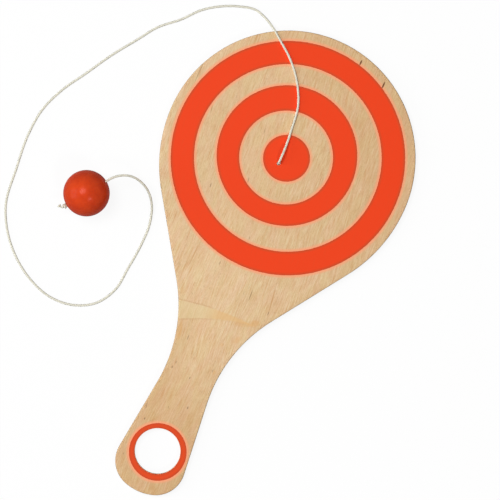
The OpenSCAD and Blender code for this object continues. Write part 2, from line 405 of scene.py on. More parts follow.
bore_tilt = math.asin(BORE_WAY[2])
bore_turn = math.atan2(BORE_WAY[1], BORE_WAY[0])
knot_turn = np.array(Euler((0, math.pi / 2 + bore_tilt, bore_turn + math.pi)).to_matrix())
ball_knot_line, ball_knot_way = knot_line(BALL_TAIL_SHARES)
ball_knot_line = ball_knot_line @ knot_turn.T + BALL_FAR_MOUTH
ball_knot_way = knot_turn @ ball_knot_way
knot_on_ball, _ = braided_tube("knot_on_ball", ball_knot_line, ball_knot_way, (CORD_D, STRAND_D))
tail_fibres = frayed_end("knot_tail_fibres", ball_knot_line[-1], ball_knot_way, TAIL_LEAN)

# Rubber ball
BALL_SIDES = 128
LIP_R = 0.7                # rounding of the bore's mouths
LIP_POINTS = 9
DOME_POINTS = 40
SEAM_HEIGHT = 0.02         # parting line left by the mould
SEAM_HALF = 0.22
SEAM_TURN = 0.1            # radians beside the middle plane that get points of their own
SEAM_POINTS = 16


def rubber_ball(name):
    """The ball with its bore, turned about the bore's axis.

    The profile runs up the bore's wall, round a lip and over the sphere to the other lip. A lip is an
    arc that touches the wall and the sphere, so its centre is at the bore's radius plus its own from
    the axis and at the ball's radius less its own from the ball's centre. The parting line is a bell
    curve of the distance from the middle plane, added to the sphere's radius."""
    bore_r = CORD_D / 2 + BORE_PLAY
    lip_out = bore_r + LIP_R
    lip_up = math.sqrt((BALL_R - LIP_R) ** 2 - lip_out**2)
    open_angle = math.atan2(lip_out, lip_up)
    lip_angle = np.linspace(-math.pi / 2, open_angle, LIP_POINTS)
    lip = np.stack([lip_out + LIP_R * np.sin(lip_angle), lip_up + LIP_R * np.cos(lip_angle)], axis=1)
    wide = np.linspace(open_angle, math.pi / 2 - SEAM_TURN, DOME_POINTS)[1:]
    fine = np.linspace(math.pi / 2 - SEAM_TURN, math.pi / 2, SEAM_POINTS)[1:]
    upper = np.concatenate([wide, fine])
    seam = BALL_R + SEAM_HEIGHT * np.exp(-(BALL_R * np.cos(upper) / SEAM_HALF) ** 2)
    dome = np.stack([seam * np.sin(upper), seam * np.cos(upper)], axis=1)
    half = np.vstack([[[bore_r, 0]], lip, dome])
    profile = np.vstack([half, half[-2:0:-1] * (1, -1)])
    ways = np.stack([BORE_WAY, BORE_WAY])
    side, up = (direction[0] for direction in square_to(ways))
    angle = (2 * np.pi * np.arange(BALL_SIDES) / BALL_SIDES)[None, :, None]
    out = np.cos(angle) * side + np.sin(angle) * up
    surface = BALL_AT + profile[:, None, :1] * out + profile[:, None, 1:] * BORE_WAY
    faces = cells(len(profile), BALL_SIDES, row_wrap=True, column_wrap=True)
    return make_mesh(name, surface.reshape(-1, 3), faces)


ball = rubber_ball("rubber_ball")

# Plies
ARC_STEP = 2               # degrees
STRETCH_STEP = 3
NECK_CUT_STEPS = 12
EASE = 0.6                 # rounding of the paddle's sanded edges
EASE_STEPS = 4
GROOVE = 0.06              # rounding where two plies meet
HOLE_EASE = 0.15           # rounding of the hole in the handle
HOLE_EASE_STEPS = 2
SUPPORT = 0.6              # a row of points this far in keeps the flat faces flat
FLAT_ROWS = 5              # rows of points from there in to the hole


def arc(centre, radius, start, stop, bulge=1):
    """Points of an arc between two angles in degrees, and the normals there.

    A point is the centre plus the radius times (cos, sin) of its angle. Its normal is the same
    direction, or the opposite one on a hollow arc, whose bulge is -1."""
    angle = np.radians(np.linspace(start, stop, math.ceil(abs(stop - start) / ARC_STEP) + 1))
    way = np.stack([np.cos(angle), np.sin(angle)], axis=1)
    return np.array(centre) + radius * way, bulge * way


def crossing_angle(centre_a, r_a, centre_b, r_b, side):
    """Angle at which the line that touches both circles, each on its own side, touches circle a."""
    way = np.array(centre_b) - np.array(centre_a)
    reach = math.degrees(math.acos((r_a + r_b) / np.linalg.norm(way)))
    return math.degrees(math.atan2(way[1], way[0])) + side * reach


def run(*arcs):
    """One run through several arcs, with the straight stretches between them cut into even steps."""
    points, normals = arcs[0]
    for next_points, next_normals in arcs[1:]:
        gap = next_points[0] - points[-1]
        cuts = math.ceil(np.linalg.norm(gap) / STRETCH_STEP - TINY)
        share = np.linspace(0, 1, cuts + 1)[1:-1, None]
        first = 0 if cuts else 1
        between = np.repeat(normals[-1:], len(share), axis=0)
        points = np.vstack([points, points[-1] + share * gap, next_points[first:]])
        normals = np.vstack([normals, between, next_normals[first:]])
    return points, normals


def both_sides(right, top_first):
    """A run on the right and its mirror image on the left, joined where they meet on the long axis."""
    points, normals = right
    left = points[::-1] * (-1, 1), normals[::-1] * (-1, 1)
    first, last = (left, right) if top_first else (right, left)
    return np.vstack([first[0], last[0][1:]]), np.vstack([first[1], last[1][1:]])


heel_corner_r = HANDLE_W / 2 - HEEL_CORNER_OFFSET
heel_rise = math.sqrt((HEEL_END_R - heel_corner_r) ** 2 - HEEL_CORNER_OFFSET**2)
heel_end_at = (0, HEEL_END_R - HEEL_DROP)
heel_corner_at = (HEEL_CORNER_OFFSET, heel_end_at[1] - heel_rise)
neck_at = (NECK_W / 2 + NECK_R, -NECK_DROP)
cheek_at = (-CHEEK_OFFSET, 0)
cheek_r = HEAD_R + CHEEK_OFFSET
corner_turn = math.degrees(math.atan2(-heel_rise, HEEL_CORNER_OFFSET))
side_turn = crossing_angle(heel_corner_at, heel_corner_r, neck_at, NECK_R, -1)
flank_turn = crossing_angle(cheek_at, cheek_r, neck_at, NECK_R, 1)
head_side = both_sides(run(
    arc(neck_at, NECK_R, 180, 180 + flank_turn, -1),
    arc(cheek_at, cheek_r, flank_turn, 0),
    arc((0, 0), HEAD_R, 0, 90)), False)
handle_side = both_sides(run(
    arc(heel_end_at, HEEL_END_R, -90, corner_turn),
    arc(heel_corner_at, heel_corner_r, corner_turn, side_turn),
    arc(neck_at, NECK_R, 180 + side_turn, 180, -1)), True)
outline = tuple(np.vstack([head, handle[1:-1]]) for head, handle in zip(head_side, handle_side))


def zone(side, cut_way):
    """One half of the paddle's plan, cut across the neck: its points, and the directions out of it.

    Along the cut the first direction goes sideways in proportion to the distance from the long axis,
    so that moving every point in by the same amount keeps the cut straight. The second one, for the
    row of support points, also goes across the cut."""
    points, normals = side
    share = np.linspace(points[-1, 0], points[0, 0], NECK_CUT_STEPS + 1)[1:-1, None] / (NECK_W / 2)
    cut = np.hstack([share * NECK_W / 2, np.full_like(share, -NECK_DROP)])
    sideways = np.hstack([share, np.zeros_like(share)])
    loop = np.vstack([points, cut])
    out = np.vstack([normals, sideways])
    support = out.copy()
    support[[0, *range(len(points) - 1, len(loop))], 1] = cut_way
    return loop, out, support


HEAD_ZONE = zone(head_side, -1)
HANDLE_ZONE = zone(handle_side, 1)


def eased(ease, height, way, steps=EASE_STEPS):
    """Insets and heights down a rounded edge: a quarter circle from the flat face to the wall."""
    angle = np.linspace(0, math.pi / 2, steps + 1)
    return [(ease * (1 - math.sin(a)), height + way * ease * (1 - math.cos(a))) for a in angle]


def ply(name, low, high, low_ease, high_ease, hole_in_head):
    """One ply of the paddle with its two holes.

    The plan is two zones. Each is a grid whose rows are closed loops, from the outline in to the
    hole: the outline moved in, a blend between that and a circle, and circles, always at the points'
    own directions from the hole's centre. The rows go in over the top, down the hole and out
    below. The edge is one more grid, the outline moved in by a quarter circle's rule at each rim."""
    grids = []
    rims = (eased(high_ease, high, -1), eased(low_ease, low, 1))
    for (loop, out, support), centre, radius, hole_ease in (
            (HEAD_ZONE, CORD_HOLE_AT, hole_in_head, GROOVE),
            (HANDLE_ZONE, HANDLE_HOLE_AT, HANDLE_HOLE_R, HOLE_EASE)):
        way = unit(loop - centre)
        rows = []
        for height, ease, sense in ((high, high_ease, -1), (low, low_ease, 1)):
            edge = loop - ease * out
            inner = edge - SUPPORT * support
            circle = centre + (radius + hole_ease + SUPPORT) * way
            shares = np.linspace(0, 1, FLAT_ROWS)
            flat = [edge, *(inner + share * (circle - inner) for share in shares)]
            side_rows = [(plan, height) for plan in flat]
            side_rows += [(centre + (radius + inset) * way, z)
                          for inset, z in eased(hole_ease, height, sense, HOLE_EASE_STEPS)]
            rows += side_rows if sense < 0 else side_rows[::-1]
        grids.append(np.stack([np.column_stack([plan, np.full(len(plan), z)]) for plan, z in rows]))
    points, normals = outline
    edge_rows = rims[0] + rims[1][::-1]
    grids.append(np.stack([np.column_stack([points - inset * normals, np.full(len(points), z)])
                           for inset, z in edge_rows]))
    starts = np.cumsum([0] + [grid.shape[0] * grid.shape[1] for grid in grids])
    faces = [cells(*grid.shape[:2], column_wrap=True) + start for grid, start in zip(grids, starts)]
    return make_mesh(name, np.vstack([grid.reshape(-1, 3) for grid in grids]), np.vstack(faces))


face_ply = ply("face_ply", FACE_Z, WOOD_Z, GROOVE, EASE, CORD_HOLE_R)
core_ply = ply("core_ply", CORE_Z, FACE_Z, GROOVE, GROOVE, RECESS_R)
back_ply = ply("back_ply", 0, CORE_Z, EASE, GROOVE, RECESS_R)

# Print
TARGET_MARGIN = 5.8
TARGET_BANDS = 5
band = (HEAD_R - TARGET_MARGIN) / TARGET_BANDS
INK_SIDES = 720
INK_EASE = 0.05
INK_RAGGED = 0.035         # how far the ink creeps in and out along its edge
INK_WAVES = 60
INK_WAVE_COUNTS = (5, INK_SIDES / 2.5)   # fewest and most of one wave round a circle
RING_R = 16.4
CIRCLES = {                # centre and radius of each printed circle
    "bullseye": ((-0.8, -0.6), band),
    "middle_in": ((-1.2, -0.3), 2 * band),
    "middle_out": ((-1.2, 0.9), 3 * band),
    "outer_in": ((-0.2, -0.1), 4 * band),
    "outer_out": ((-0.1, -0.2), 5 * band),
    "handle_out": (tuple(HANDLE_HOLE_AT + (0.3, -0.4)), RING_R),
    "handle_in": (tuple(HANDLE_HOLE_AT), HANDLE_HOLE_R + HOLE_EASE),
    "cord_hole": (tuple(CORD_HOLE_AT), CORD_HOLE_R + GROOVE),
}
BORED = ("handle_in", "cord_hole")       # circles that a hole cuts clean
PRINTED_EDGES = [circle for name, circle in CIRCLES.items() if name != "cord_hole"]


def ragged(angle, seed):
    """A small wandering offset round a circle: a sum of waves whose counts and phases are drawn."""
    draw = np.random.default_rng(seed)
    counts = draw.integers(*INK_WAVE_COUNTS, INK_WAVES)[:, None]
    shifts = draw.uniform(0, 2 * np.pi, INK_WAVES)[:, None]
    return INK_RAGGED * np.sin(counts * angle + shifts).sum(axis=0) / math.sqrt(INK_WAVES / 2)


def ink_layer(name, inside, outside, seed):
    """Ink between two circles, which needn't share a centre.

    Across the band every row is a circle whose centre and radius are blended between the two by the
    row's share, and round the section the rows rise, run over the top and come down. The rows three
    lips in from each edge keep the top flat."""
    angle = 2 * np.pi * np.arange(INK_SIDES) / INK_SIDES
    way = np.stack([np.cos(angle), np.sin(angle)], axis=1)
    (in_at, in_r), (out_at, out_r) = CIRCLES[inside], CIRCLES[outside]
    in_edge = in_r + (0 if inside in BORED else ragged(angle, seed))
    out_edge = out_r + ragged(angle, seed + 1)
    lip = INK_EASE / (out_r - in_r)
    rows = []
    for share, height in ((0, WOOD_Z), (0, INK_Z - INK_EASE), (lip, INK_Z), (3 * lip, INK_Z),
                          (0.5, INK_Z), (1 - 3 * lip, INK_Z), (1 - lip, INK_Z),
                          (1, INK_Z - INK_EASE), (1, WOOD_Z)):
        centre = np.array(in_at) * (1 - share) + np.array(out_at) * share
        radius = in_edge * (1 - share) + out_edge * share
        rows.append(np.column_stack([centre + radius[:, None] * way, np.full(INK_SIDES, height)]))
    faces = cells(len(rows), INK_SIDES, row_wrap=True, column_wrap=True)
    return make_mesh(name, np.vstack(rows), faces)


prints = {
    "target_bullseye": ink_layer("bullseye_ink", "cord_hole", "bullseye", 11),
    "target_middle_ring": ink_layer("middle_ring_ink", "middle_in", "middle_out", 21),
    "target_outer_ring": ink_layer("outer_ring_ink", "outer_in", "outer_out", 31),
    "handle_hole_ring": ink_layer("handle_ring_ink", "handle_in", "handle_out", 41),
}


def colour(red, green, blue):
    """A colour as it is seen, from 0 to 255, turned into the linear one that a shader takes."""
    seen = np.array([red, green, blue]) / 255
    return (*np.where(seen < 0.04045, seen / 12.92, ((seen + 0.055) / 1.055) ** 2.4), 1.0)


WOOD_PALE = colour(233, 201, 159)
WOOD_WARM = colour(227, 194, 151)
FRESH = colour(255, 255, 255)
AGED_TINT = colour(242, 234, 224)
BACK_PALE = colour(226, 192, 151)
BACK_WARM = colour(214, 177, 134)
CORE_PALE = colour(207, 172, 128)
CORE_WARM = colour(188, 150, 106)
PORE = colour(150, 106, 68)
MARK = colour(112, 68, 38)
AMBER = colour(196, 140, 82)
GLUE = colour(120, 86, 56)
PINK_TINT = colour(255, 251, 253)
YELLOW_TINT = colour(253, 254, 248)
STAIN = colour(222, 163, 88)
LENS_PALE = colour(231, 210, 160)
LENS_WARM = colour(230, 187, 129)
LENS_LINE = colour(203, 157, 112)
HALO = colour(252, 168, 125)
INK = colour(243, 66, 18)
RING_INK = colour(233, 74, 24)
INK_THIN = colour(226, 76, 34)
INK_EDGE = colour(212, 74, 32)
YARN = colour(234, 231, 214)
# Deeper yarn colour: painted shade in the partings of the braid, and the darker tone of the loose
# fibres
YARN_TONE_AND_SHADE = colour(223, 218, 199)
RUBBER = colour(216, 69, 27)
RUBBER_DEEP = colour(206, 60, 23)


class Finish:
    """A material built node by node. Each method adds nodes and returns the socket that they end in."""

    def __init__(self, name):
        self.material = bpy.data.materials.new(name)
        self.material.use_nodes = True
        self.tree = self.material.node_tree
        self.shader = self.tree.nodes["Principled BSDF"]

    def add(self, kind, values, output=0, **settings):
        """One node with its settings. Each value goes to the socket of its name or number, and is a
        constant or a socket itself."""
        node = self.tree.nodes.new("ShaderNode" + kind)
        for key, setting in settings.items():
            setattr(node, key, setting)
        for key, value in values.items():
            self.put(node.inputs[key], value)
        return node.outputs[output]

    def put(self, socket, value):
        """Sets a socket to a constant, or links it."""
        if isinstance(value, bpy.types.NodeSocket):
            self.tree.links.new(value, socket)
        else:
            socket.default_value = value

    def calc(self, operation, *values):
        """The result of an operation on numbers."""
        return self.add("Math", dict(enumerate(values)), operation=operation)

    def between(self, value, low, high):
        """Goes evenly from low to high as the value goes from 0 to 1."""
        return self.calc("MULTIPLY_ADD", value, high - low, low)

    def layered(self, fine, coarse, share):
        """This share of the fine relief and the rest of the coarse one."""
        return self.calc("MULTIPLY_ADD", fine, share, self.calc("MULTIPLY", coarse, 1 - share))

    def part(self, vector, axis):
        """One of a vector's three parts."""
        return self.add("SeparateXYZ", {0: vector}, axis)

    def place(self):
        """Where a point is on its piece, in millimetres."""
        seat = self.add("TexCoord", {}, "Object")
        return self.add("VectorMath", {0: seat, 1: (1 / MM, 1 / MM, 1 / MM)}, operation="MULTIPLY")

    def noise(self, place, size, detail, roughness=0.5):
        """Noise whose patches have about this size along x, y and z."""
        scaled = self.add("Mapping", {"Vector": place, "Scale": tuple(1 / s for s in size)})
        return self.add("TexNoise", {"Vector": scaled, "Scale": 1.0, "Detail": detail,
                                     "Roughness": roughness})

    def fade(self, value, start, stop, low=0.0, high=1.0):
        """Goes smoothly from low to high as the value goes from start to stop."""
        return self.add("MapRange", {"Value": value, 1: start, 2: stop, 3: low, 4: high},
                        interpolation_type="SMOOTHSTEP")

    def pattern(self, place, size, detail, roughness, start, stop, low=0.0, high=1.0):
        """Noise that fades in between two of its values."""
        return self.fade(self.noise(place, size, detail, roughness), start, stop, low, high)

    def blend(self, share, first, second):
        """The first colour, and more of the second the larger the share."""
        return self.add("Mix", {0: share, 6: first, 7: second}, 2, data_type="RGBA")

    def tinted(self, base, tint):
        """A colour times another."""
        return self.add("Mix", {0: 1.0, 6: base, 7: tint}, 2, data_type="RGBA", blend_type="MULTIPLY")

    def brightened(self, base, factor):
        """A colour times a number."""
        return self.add("VectorMath", {0: base, "Scale": factor}, operation="SCALE")

    def shaded(self, base, amount, depths):
        """A colour changed by an amount times a depth of its own for red, green and blue."""
        change = self.add("VectorMath", {0: depths, "Scale": amount}, operation="SCALE")
        return self.add("VectorMath", {0: base, 1: change, 2: base}, operation="MULTIPLY_ADD")

    def bump(self, height, depth, strength):
        """The normal of a surface with this relief, whose full height is the depth in millimetres."""
        return self.add("Bump", {"Strength": strength, "Distance": depth * MM, "Height": height})

    def finish(self, base, roughness, normal, **levels):
        """Joins the shader up, and sets the levels that are the same all over."""
        self.put(self.shader.inputs["Base Color"], base)
        self.put(self.shader.inputs["Roughness"], roughness)
        self.put(self.shader.inputs["Normal"], normal)
        for key, level in levels.items():
            self.shader.inputs[key.replace("_", " ")].default_value = level
        return self.material


FIBRE_TURN = 6             # degrees that the fibres lean off the long axis
BACK_TURN = 2              # and those of the back veneer
WANDER = 3.0               # how far they wander sideways
PULLS = ((-120.0, -45.0, 4.0), (-180.0, -130.0, 5.0))   # from, to, how far they are pulled straighter
# Noise in the wood: the size of its patches across, along and through the fibres, its detail and its
# roughness
BENDS = ((28, 60, 20), 1.0)
STREAKS = ((0.65, 7, 0.8), 3.0, 0.6)
FINE_FIBRES = ((0.3, 1.1, 0.3), 3.0, 0.65)
MOTTLE = ((8, 22, 8), 3.0)
# Patterns in the wood: the same, then the values of the noise between which the pattern fades in and,
# where they aren't 0 and 1, the numbers that it goes from and to
TONE = ((17, 70, 12), 2.0, 0.5, 0.32, 0.68)
CONTRAST = ((14, 30, 14), 1.0, 0.5, 0.3, 0.7, 0.35, 0.78)
THREADS = ((0.4, 9, 0.5), 1.0, 0.5, 0.56, 0.72)
FLUSH = ((5, 14, 5), 3.0, 0.5, 0.35, 0.65)
PORE_DASHES = ((0.24, 2.3, 0.3), 1.0, 0.5, 0.66, 0.74)
PORE_PATCHES = ((5, 22, 5), 1.0, 0.5, 0.45, 0.62)
# How far each changes the wood's colour
STREAK_DEPTHS = (0.5, 1.15, 1.75)   # on red, green and blue: a dark streak is redder
FIBRE_DEPTHS = (0.88, 1.0, 1.32)
MOTTLE_SHADE = 0.075
THREAD_SHADE = 0.15
FIBRE_SHADE = 0.24
PORE_SHARE = 0.4
# Painted shade: the sanded edge and the core's walls are darkened to this share of the wood's colour
PAINTED_EDGE_SHADE = 0.76          # the sanded edge is this bright beside the faces
WOOD_ROUGHNESS = (0.5, 0.7)
WOOD_RELIEF = (0.09, 0.6)  # full height of the fibres, and how strongly they show
PORE_DEPTH = 0.8           # depth of the pores as a share of that height


def fibres(finish, turn):
    """The wood's grain: the place on the piece seen from above, the place in a frame whose y axis runs
    along the fibres, broad streaks, fine fibres and pores, each from 0 to 1."""
    place = finish.place()
    plan = finish.add("VectorMath", {0: place, 1: (1, 1, 0)}, operation="MULTIPLY")
    turned = finish.add("Mapping", {"Vector": place, "Rotation": (0, 0, -math.radians(turn))})
    along = finish.part(place, 1)
    shift = finish.calc("MULTIPLY", finish.noise(turned, *BENDS), WANDER)
    for low, high, pull in PULLS:
        shift = finish.calc("ADD", shift, finish.fade(along, low, high, pull, 0.0))
    sideways = finish.add("CombineXYZ", {0: shift})
    grain = finish.add("VectorMath", {0: turned, 1: sideways}, operation="ADD")
    streaks = finish.noise(grain, *STREAKS)
    fine = finish.noise(grain, *FINE_FIBRES)
    dashes = finish.pattern(grain, *PORE_DASHES)
    pores = finish.calc("MULTIPLY", dashes, finish.pattern(grain, *PORE_PATCHES))
    return plan, grain, streaks, fine, pores


def near_heights(finish, place, heights, reach):
    """1 at any of these heights above the table and 0 beyond the reach."""
    z = finish.part(place, 2)
    gaps = [finish.calc("ABSOLUTE", finish.calc("SUBTRACT", z, height)) for height in heights]
    nearest = finish.calc("MINIMUM", *gaps)
    return finish.fade(nearest, 0.0, reach, 1.0, 0.0)


def wood_base(finish, pale, warm, turn, wall):
    """The place seen from above, and colour, roughness and relief of one ply's wood, with painted shade
    on its sanded edge. wall is 1 on its sanded edge."""
    plan, grain, streaks, fine, pores = fibres(finish, turn)
    base = finish.blend(finish.pattern(grain, *TONE), pale, warm)
    contrast = finish.pattern(grain, *CONTRAST)
    streak = finish.calc("MULTIPLY", finish.calc("SUBTRACT", streaks, 0.5), contrast)
    mottle = finish.between(finish.noise(grain, *MOTTLE), -MOTTLE_SHADE, MOTTLE_SHADE)
    streak = finish.calc("ADD", streak, mottle)
    streak = finish.calc("MULTIPLY_ADD", finish.pattern(grain, *THREADS), -THREAD_SHADE, streak)
    base = finish.shaded(base, streak, STREAK_DEPTHS)
    base = finish.shaded(base, finish.between(fine, -FIBRE_SHADE, FIBRE_SHADE), FIBRE_DEPTHS)
    flush = finish.blend(finish.pattern(grain, *FLUSH), PINK_TINT, YELLOW_TINT)
    base = finish.tinted(base, flush)
    # painted shade on the sanded edge and the walls
    base = finish.brightened(base, finish.between(wall, 1.0, PAINTED_EDGE_SHADE))
    base = finish.blend(finish.calc("MULTIPLY", pores, PORE_SHARE), base, PORE)
    roughness = finish.between(fine, *WOOD_ROUGHNESS)
    relief = finish.layered(fine, streaks, share=0.5)
    relief = finish.calc("MULTIPLY_ADD", pores, -PORE_DEPTH, relief)
    return plan, base, roughness, relief


# Marks in the face: x, y, half length and half width, how dark and how far they lean
FACE_MARKS = (
    (15.4, 66.4, 1.9, 0.55, 1, 0),
    (32.4, 60.0, 2.5, 0.55, 1, 0),
    (-33.8, -32.3, 1.6, 0.35, 0.55, 8),
    (-15.5, -20.7, 1.9, 0.35, 0.45, 10),
    (-1.3, -50.6, 1.2, 0.3, 0.4, 8),
    (-10.8, -70.5, 1.3, 0.35, 0.4, 8),
    (-66.2, 24.5, 8.5, 0.3, 0.4, 0),
    (-18.5, 8.5, 2.2, 0.3, 0.3, 8),
    (-51.2, 7.5, 2.6, 0.3, 0.3, 10),
    (12.7, -80.0, 3.6, 0.3, 0.55, 3),
    (26.1, -85.4, 1.4, 0.35, 0.45, 4),
    (-9.9, -116.5, 1.8, 0.3, 0.5, 2),
    (-10.3, -132.2, 0.9, 0.4, 0.4, 8),
    (-11.2, -135.5, 0.9, 0.35, 0.6, 12),
    (0.5, -137.1, 0.9, 0.5, 0.4, 0),
    (10.7, -128.2, 1.0, 0.35, 0.35, 8),
    (6.4, -153.1, 1.0, 0.4, 0.55, 4),
    (-3.7, -157.3, 1.0, 0.3, 0.35, 8),
    (-13.4, -168.7, 0.8, 0.45, 0.6, 0),
    (-15.5, -161.5, 2.4, 0.25, 0.5, 8),
    (-16.1, -191.7, 0.9, 0.4, 0.3, 8),
)
# Amber lines along the grain, in the same order
FACE_LINES = (
    (-68.8, 15, 3, 0.3, 0.25, -2),
    (-44.9, -58, 5.5, 0.3, 0.5, 3),
    (-26.2, -72, 10, 0.35, 0.4, -2),
    (-28.2, -78, 9, 0.35, 0.3, 1),
    (25, -77.5, 10, 0.38, 0.5, 9),
    (29, -69, 7, 0.3, 0.25, 6),
    (35.7, -68, 5, 0.3, 0.2, 0),
)
# Orange stains, in the same order
FACE_STAINS = (
    (-15.8, -115, 6.5, 1.6, 0.35, 13),
    (-23.6, -93.5, 2.6, 1.5, 0.15, 25),
    (15.5, -97, 7, 1.6, 0.25, -72),
    (16.2, -106.5, 3.2, 1.8, 0.3, -25),
    (21.5, -93.6, 3.6, 2, 0.35, -65),
    (9.3, -112.4, 1.4, 1.2, 0.25, 0),
    (11.9, -128.5, 1.5, 1, 0.25, 0),
)
MARK_EDGE = (0.45, 1.15)   # shares of a mark's half length and width between which it fades out
MARK_DEPTH = 1.5           # depth of a mark as a share of the fibres' relief
# The head is darker to one side, and the handle towards its end: the direction, and the two distances
# along it between which the wood darkens
AGED_WAYS = (((0.77, 0.64, 0), -50.0, 95.0), ((0.8, 1, 0), -95.0, -170.0))
AGED_MIDDLE = (25.0, 62.0, 0.5, 0.0)   # two distances from the bullseye, and how dark at each
# The lens of paler wood across the neck lies between two curves: constant, slope and curvature
LENS_UPPER = (-95.1, 0.084, -0.0033)
LENS_LOWER = (-101, 0.345, -0.005)
LENS_WAVER = ((2.5, 2.5, 1), 2.0)      # noise along its edges
LENS_UPPER_EDGE = (-0.2, 0.9)          # distances inside each curve between which it fades in
LENS_LOWER_EDGE = (-0.3, 1.1)
# From and to along x: where it goes from pale to warm, and how much of it shows
LENS_TONE = (-9.0, 2.0)
LENS_SHARE = (-12.0, 2.0, 0.42, 0.72)
# The fine line along each curve: its half width, and how much of it shows along x
LENS_UPPER_LINE = (0.6, (-8.0, 0.0, 0.4, 0.0))
LENS_LOWER_LINE = (0.8, (-10.0, 4.0, 0.3, 0.12))
LINE_CORE = 0.1            # half width of the full line
CREEP = (0.2, 2.2)         # distances from the print between which the ink's oil fades in the wood
CREEP_SHARE = 0.95
SANDED = (0.02, 0.35)      # distances from an open face between which the sanded edge starts
GLUE_REACH = 0.14
GLUE_SHARE = 0.7


def placed(finish, plan, marks):
    """Pin knots, short cracks and lines: each is an ellipse, as dark as it says, that fades out."""
    darkest = None
    for x, y, half_length, half_width, darkness, lean in marks:
        own = finish.add("Mapping", {"Vector": plan, "Location": (x, y, 0),
                                     "Rotation": (0, 0, math.radians(lean)),
                                     "Scale": (half_width, half_length, 1)}, vector_type="TEXTURE")
        distance = finish.add("VectorMath", {0: own}, "Value", operation="LENGTH")
        mark = finish.fade(distance, *MARK_EDGE, darkness, 0.0)
        darkest = mark if darkest is None else finish.calc("MAXIMUM", darkest, mark)
    return darkest


def beside_print(finish, plan, near, far):
    """1 within the near distance of the edge of a printed circle, and 0 beyond the far one."""
    nearest = None
    for (x, y), radius in PRINTED_EDGES:
        distance = finish.add("VectorMath", {0: plan, 1: (x, y, 0)}, "Value", operation="DISTANCE")
        gap = finish.calc("ABSOLUTE", finish.calc("SUBTRACT", distance, radius))
        nearest = gap if nearest is None else finish.calc("MINIMUM", nearest, gap)
    return finish.fade(nearest, near, far, 1.0, 0.0)


def curve_gap(finish, plan, curve):
    """How far a point lies above a curve of the second degree in x."""
    constant, slope, curvature = curve
    x = finish.part(plan, 0)
    y = finish.part(plan, 1)
    rise = finish.calc("MULTIPLY_ADD", x, curvature, slope)
    level = finish.calc("MULTIPLY_ADD", rise, x, constant)
    return finish.calc("SUBTRACT", y, level)


def aged_share(finish, plan):
    """How far the face has darkened: the most of what its two directions and its middle give."""
    from_middle = finish.add("VectorMath", {0: plan}, "Value", operation="LENGTH")
    aged = finish.fade(from_middle, *AGED_MIDDLE)
    for way, start, stop in AGED_WAYS:
        along = finish.add("VectorMath", {0: plan, 1: way}, "Value", operation="DOT_PRODUCT")
        aged = finish.calc("MAXIMUM", aged, finish.fade(along, start, stop))
    return aged


def neck_lens(finish, plan, base):
    """Lays the lens of paler wood over the face, with a fine line along each of its curves."""
    waver = finish.calc("SUBTRACT", finish.noise(plan, *LENS_WAVER), 0.5)
    below = finish.calc("SUBTRACT", waver, curve_gap(finish, plan, LENS_UPPER))
    above = finish.calc("ADD", waver, curve_gap(finish, plan, LENS_LOWER))
    inside = finish.calc("MULTIPLY", finish.fade(below, *LENS_UPPER_EDGE),
                         finish.fade(above, *LENS_LOWER_EDGE))
    x = finish.part(plan, 0)
    lens = finish.blend(finish.fade(x, *LENS_TONE), LENS_PALE, LENS_WARM)
    share = finish.calc("MULTIPLY", inside, finish.fade(x, *LENS_SHARE))
    base = finish.blend(share, base, lens)
    for gap, (width, fading) in ((below, LENS_UPPER_LINE), (above, LENS_LOWER_LINE)):
        line = finish.fade(finish.calc("ABSOLUTE", gap), LINE_CORE, width, 1.0, 0.0)
        base = finish.blend(finish.calc("MULTIPLY", line, finish.fade(x, *fading)), base, LENS_LINE)
    return base


def face_details(finish, plan, base, relief, wall):
    """Colour and relief of the face once it has aged: the lens, the oil beside the print, which stays
    off the sanded edge, the stains, the amber lines and the marks."""
    base = finish.tinted(base, finish.blend(aged_share(finish, plan), FRESH, AGED_TINT))
    base = neck_lens(finish, plan, base)
    on_face = finish.between(wall, CREEP_SHARE, 0.0)
    crept = finish.calc("MULTIPLY", beside_print(finish, plan, *CREEP), on_face)
    base = finish.blend(crept, base, HALO)
    base = finish.blend(placed(finish, plan, FACE_STAINS), base, STAIN)
    base = finish.blend(placed(finish, plan, FACE_LINES), base, AMBER)
    marks = placed(finish, plan, FACE_MARKS)
    return finish.blend(marks, base, MARK), finish.calc("MULTIPLY_ADD", marks, -MARK_DEPTH, relief)


def veneer(name, pale, warm, turn, top, bottom, glue):
    """Wood of a ply. top and bottom are the heights of its open faces, or None, and glue those of its
    glue lines."""
    finish = Finish(name)
    place = finish.place()
    z = finish.part(place, 2)
    near, far = SANDED
    if top is not None:
        wall = finish.fade(z, top - far, top - near, 1.0, 0.0)
    elif bottom is not None:
        wall = finish.fade(z, bottom + near, bottom + far)
    else:
        wall = 1.0
    plan, base, roughness, relief = wood_base(finish, pale, warm, turn, wall)
    if top is not None:
        base, relief = face_details(finish, plan, base, relief, wall)
    lines = near_heights(finish, place, glue, GLUE_REACH)
    base = finish.blend(finish.calc("MULTIPLY", lines, GLUE_SHARE), base, GLUE)
    normal = finish.bump(relief, *WOOD_RELIEF)
    return finish.finish(base, roughness, normal, Specular_IOR_Level=0.15)


THIN_STREAKS = (0.5, 0.75, 0.0, 0.22)   # from and to in the streaks, and how thin the ink looks there
THIN_PORES = 0.3
GATHERED = (0.3, 1.9)      # distances from the ink's edge between which its darker line fades out
INK_ROUGHNESS = (0.44, 0.6)
INK_RELIEF = (0.05, 0.45)
INK_PORE_DEPTH = 0.6


